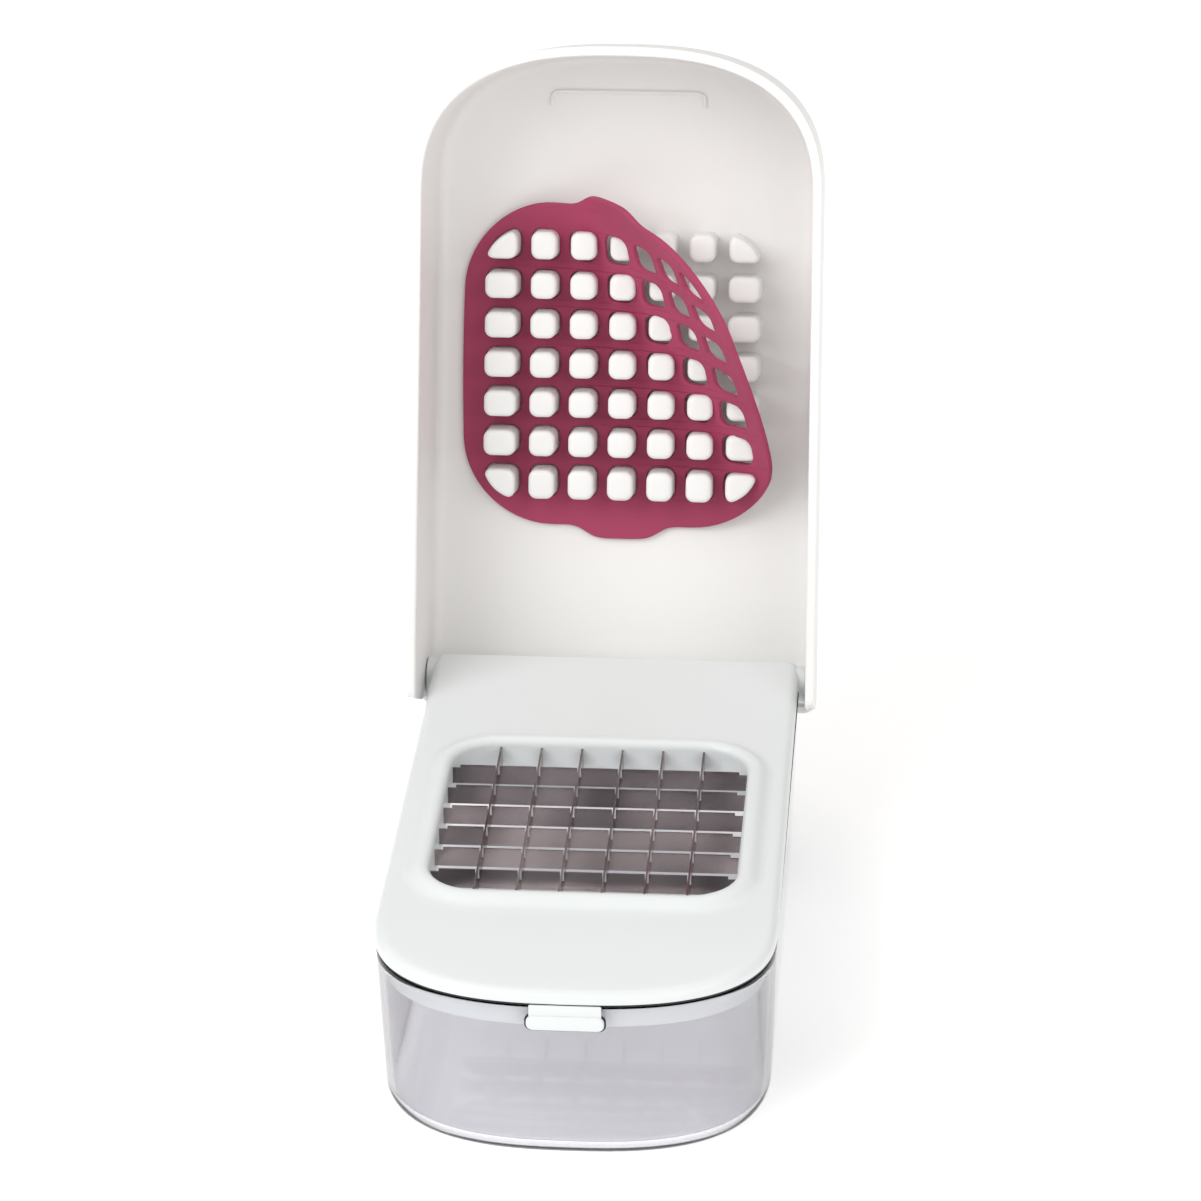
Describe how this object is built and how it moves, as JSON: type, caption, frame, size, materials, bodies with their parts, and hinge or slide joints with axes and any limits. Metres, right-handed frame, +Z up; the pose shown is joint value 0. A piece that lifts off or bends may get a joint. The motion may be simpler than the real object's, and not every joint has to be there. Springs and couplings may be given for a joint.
{
  "type": "vegetable dicer",
  "caption": "Push-through vegetable dicer: clear container, lift-off cutter top with a blade grid, deep hinged lid with a peg grid and a peel-off cleaning mat.",
  "frame": {"origin": "on the table, under the centre of the blade grid", "axes": "+X to the dicer's right seen from its rounded front, +Y towards the hinge, +Z up"},
  "size_m": [0.1302, 0.2832, 0.2565],
  "materials": {
    "white_plastic": "fine satin",
    "clear_plastic": "clear, glossy",
    "black_rubber": "matte",
    "steel": "bright",
    "plum_silicone": "soft satin"
  },
  "bodies": {
    "container": {"container_tub": "clear_plastic"},
    "cutter_top": {"seal_gasket": "black_rubber", "cover_shell": "white_plastic", "inner_skirt": "white_plastic", "blade_frame": "white_plastic", "long_blade_1": "steel", "long_blade_2": "steel", "long_blade_3": "steel", "long_blade_4": "steel", "long_blade_5": "steel", "long_blade_6": "steel", "cross_blade_1": "steel", "cross_blade_2": "steel", "cross_blade_3": "steel", "cross_blade_4": "steel", "cross_blade_5": "steel", "cross_blade_6": "steel", "tab_pin": "steel", "hinge_pin_left": "white_plastic", "hinge_pin_right": "white_plastic"},
    "release_tab": {"release_tab": "white_plastic"},
    "lid": {"lid_shell": "white_plastic", "pusher_grid": "white_plastic"},
    "mat": {"cleaning_mat": "plum_silicone"},
    "mat_corner": {"cleaning_mat_corner": "plum_silicone"}
  },
  "joints": [
    {"name": "top_lift", "type": "slide", "parent": "container", "child": "cutter_top", "axis": [0, 0, 1], "range_m": [0, 0.07]},
    {"name": "lid_hinge", "type": "hinge", "parent": "cutter_top", "child": "lid", "pos_m": [0, 0.1015, 0.053], "axis": [-1, 0, 0], "range_deg": [-108.9, 0]},
    {"name": "tab_press", "type": "hinge", "parent": "cutter_top", "child": "release_tab", "pos_m": [0, -0.097, 0.0523], "axis": [-1, 0, 0], "range_deg": [0, 10], "stiffness_Nm_per_rad": 0.02},
    {"name": "mat_pull", "type": "slide", "parent": "lid", "child": "mat", "axis": [0, -0.9461, 0.3239], "range_m": [0, 0.04]},
    {"name": "mat_peel", "type": "hinge", "parent": "mat", "child": "mat_corner", "pos_m": [-0.01572, 0.16261, 0.18765], "axis": [0.5589, -0.2686, -0.7846], "range_deg": [-54, 8], "deforming": ["cleaning_mat_corner"]}
  ]
}
